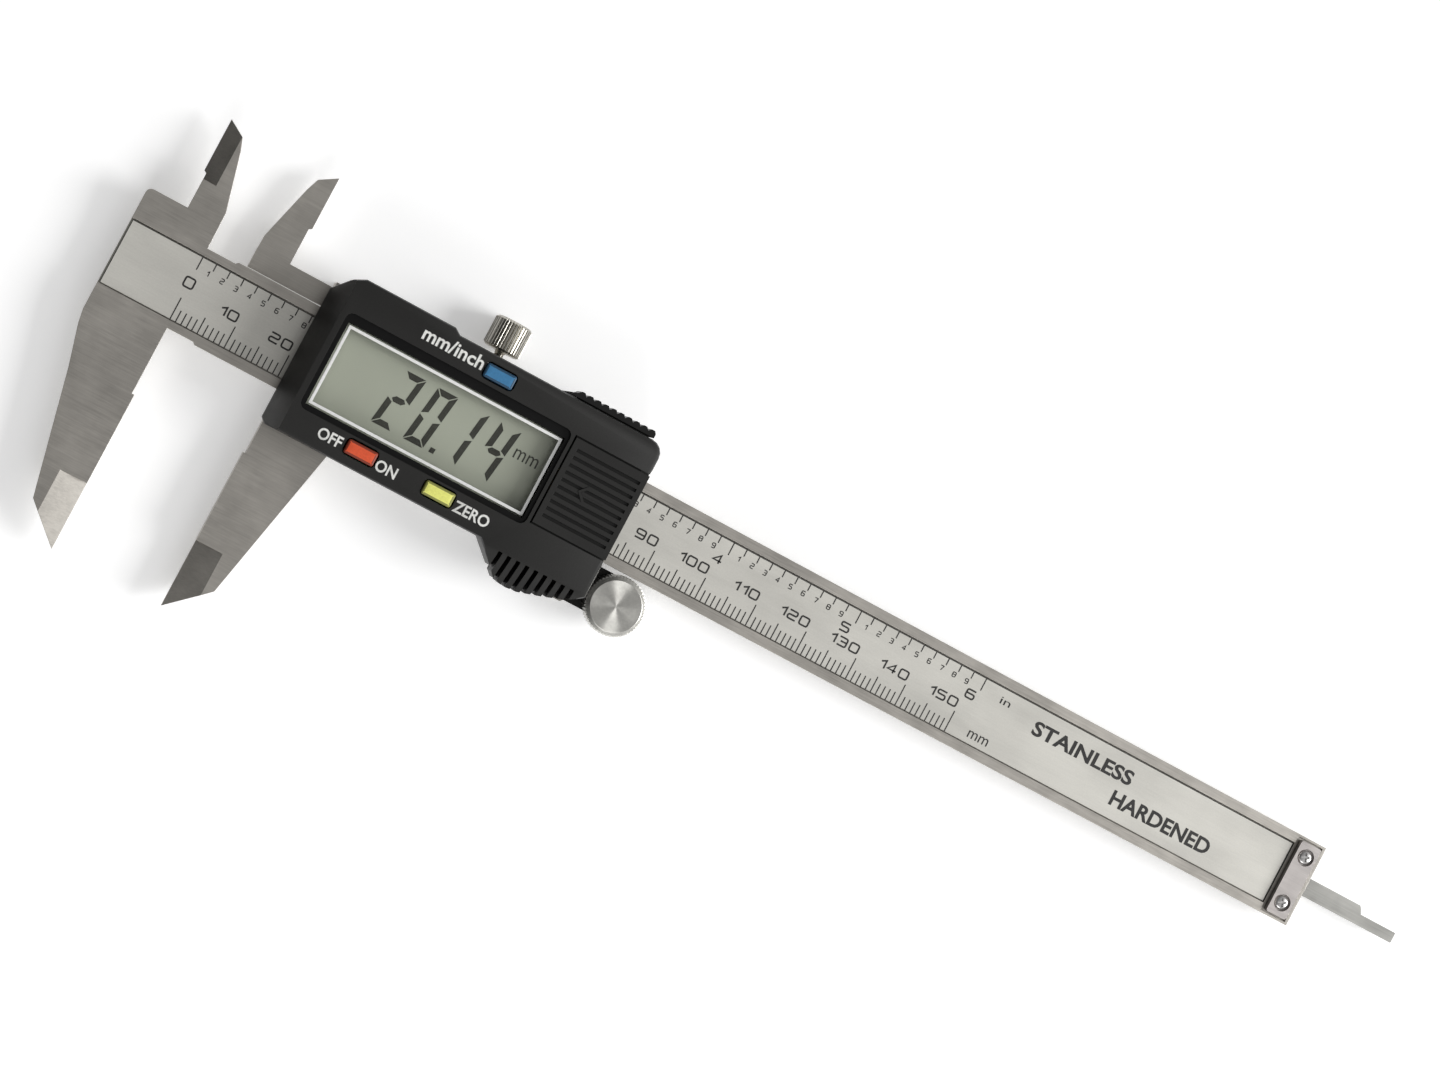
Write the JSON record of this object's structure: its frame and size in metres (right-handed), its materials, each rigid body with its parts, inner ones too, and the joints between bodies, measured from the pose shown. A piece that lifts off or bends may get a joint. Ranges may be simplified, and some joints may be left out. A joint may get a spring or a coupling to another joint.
{
  "type": "digital caliper",
  "caption": "Digital caliper with outside and inside jaws, a depth rod, a display slider, a lock screw and a thumb roller.",
  "frame": {"origin": "centre of the bounding box's bottom face at rest, in the plane of the slider's back", "axes": "+X along the beam towards the depth rod's tip, +Y towards the inside jaws, +Z out of the display"},
  "size_m": [0.2558, 0.0768, 0.0155],
  "materials": {
    "satin_steel": "satin ground stainless steel",
    "bright_steel": "bright plated steel",
    "cell_steel": "nickel plated button cell",
    "rod_steel": "smooth bright steel",
    "stop_steel": "smooth nickel plated steel",
    "screw_steel": "plated screw heads",
    "knurled_steel": "knurled satin nickel",
    "turned_steel": "bright turned face with a knurled rim",
    "black_steel": "blackened steel",
    "scale_print": "matt silver printed strip",
    "board_green": "green circuit board",
    "brass": "plain brass",
    "black_plastic": "matt moulded plastic",
    "white_plastic": "white moulded plastic",
    "frame_white": "off-white printed frame",
    "clear_window": "clear acrylic",
    "display_grey": "grey-green liquid crystal glass",
    "black_rubber": "conductive rubber",
    "key_blue": "blue moulded plastic",
    "key_red": "orange-red moulded plastic",
    "key_yellow": "lemon yellow moulded plastic",
    "label_grey": "matt silver label"
  },
  "bodies": {
    "beam": {"beam": "satin_steel", "scale_board": "board_green", "scale_label": "scale_print", "end_stop_plate": "stop_steel", "end_stop_screw_lower": "screw_steel", "end_stop_screw_upper": "screw_steel"},
    "slider": {"back_label": "label_grey", "battery": "cell_steel", "battery_contact_negative": "brass", "battery_contact_positive": "brass", "board_screw_lower": "bright_steel", "board_screw_upper": "bright_steel", "bracket_rivet": "bright_steel", "circuit_board": "board_green", "contact_strip_lower": "black_rubber", "contact_strip_upper": "black_rubber", "crystal_can": "bright_steel", "data_connector": "black_plastic", "depth_rod": "rod_steel", "depth_rod_pin": "rod_steel", "display_carrier": "white_plastic", "display_frame": "frame_white", "display_glass": "display_grey", "display_window": "clear_window", "gib_screw_left": "black_steel", "gib_screw_right": "black_steel", "gib_strip": "brass", "housing": "black_plastic", "housing_screw_1": "black_steel", "housing_screw_2": "black_steel", "housing_screw_3": "black_steel", "housing_screw_4": "black_steel", "processor_chip": "black_plastic", "roller_axle": "black_steel", "roller_bracket": "black_steel", "slider_frame": "satin_steel", "switch_mm_inch": "bright_steel", "switch_off_on": "bright_steel", "switch_zero": "bright_steel"},
    "lock_pad": {"lock_pad": "brass"},
    "lock_screw": {"lock_screw": "knurled_steel"},
    "thumb_roller": {"thumb_roller": "turned_steel"},
    "key_mm_inch": {"key_mm_inch": "key_blue"},
    "key_off_on": {"key_off_on": "key_red"},
    "key_zero": {"key_zero": "key_yellow"},
    "battery_cover": {"battery_cover": "black_plastic"},
    "data_port_cover": {"data_port_cover": "black_plastic"}
  },
  "joints": [
    {"name": "slider_slide", "type": "slide", "parent": "beam", "child": "slider", "axis": [1, 0, 0], "range_m": [-0.0201, 0.134]},
    {"name": "thumb_roller_turn", "type": "hinge", "parent": "slider", "child": "thumb_roller", "pos_m": [-0.02647, -0.00315, 0.0056], "axis": [0, 0, 1], "continuous": true},
    {"name": "lock_advance", "type": "slide", "parent": "slider", "child": "lock_pad", "axis": [0, -1, 0], "range_m": [-0.00045, 0.000225]},
    {"name": "lock_screw_turn", "type": "hinge", "parent": "lock_pad", "child": "lock_screw", "pos_m": [-0.06377, 0.02545, 0.0039], "axis": [0, -1, 0], "range_deg": [-360, 180]},
    {"name": "key_mm_inch_press", "type": "slide", "parent": "slider", "child": "key_mm_inch", "axis": [0, 0, -1], "range_m": [0, 0.0005], "stiffness_N_per_m": 400, "springref_m": -0.0005},
    {"name": "key_off_on_press", "type": "slide", "parent": "slider", "child": "key_off_on", "axis": [0, 0, -1], "range_m": [0, 0.0005], "stiffness_N_per_m": 400, "springref_m": -0.0005},
    {"name": "key_zero_press", "type": "slide", "parent": "slider", "child": "key_zero", "axis": [0, 0, -1], "range_m": [0, 0.0005], "stiffness_N_per_m": 400, "springref_m": -0.0005},
    {"name": "battery_cover_slide", "type": "slide", "parent": "slider", "child": "battery_cover", "axis": [1, 0, 0], "range_m": [0, 0.0145]},
    {"name": "port_cover_slide", "type": "slide", "parent": "slider", "child": "data_port_cover", "axis": [1, 0, 0], "range_m": [0, 0.012]}
  ],
  "couplings": [
    {"joint": "thumb_roller_turn", "follows": "slider_slide", "rad_per_m": 188.68},
    {"joint": "lock_screw_turn", "follows": "lock_advance", "rad_per_m": 13963}
  ]
}
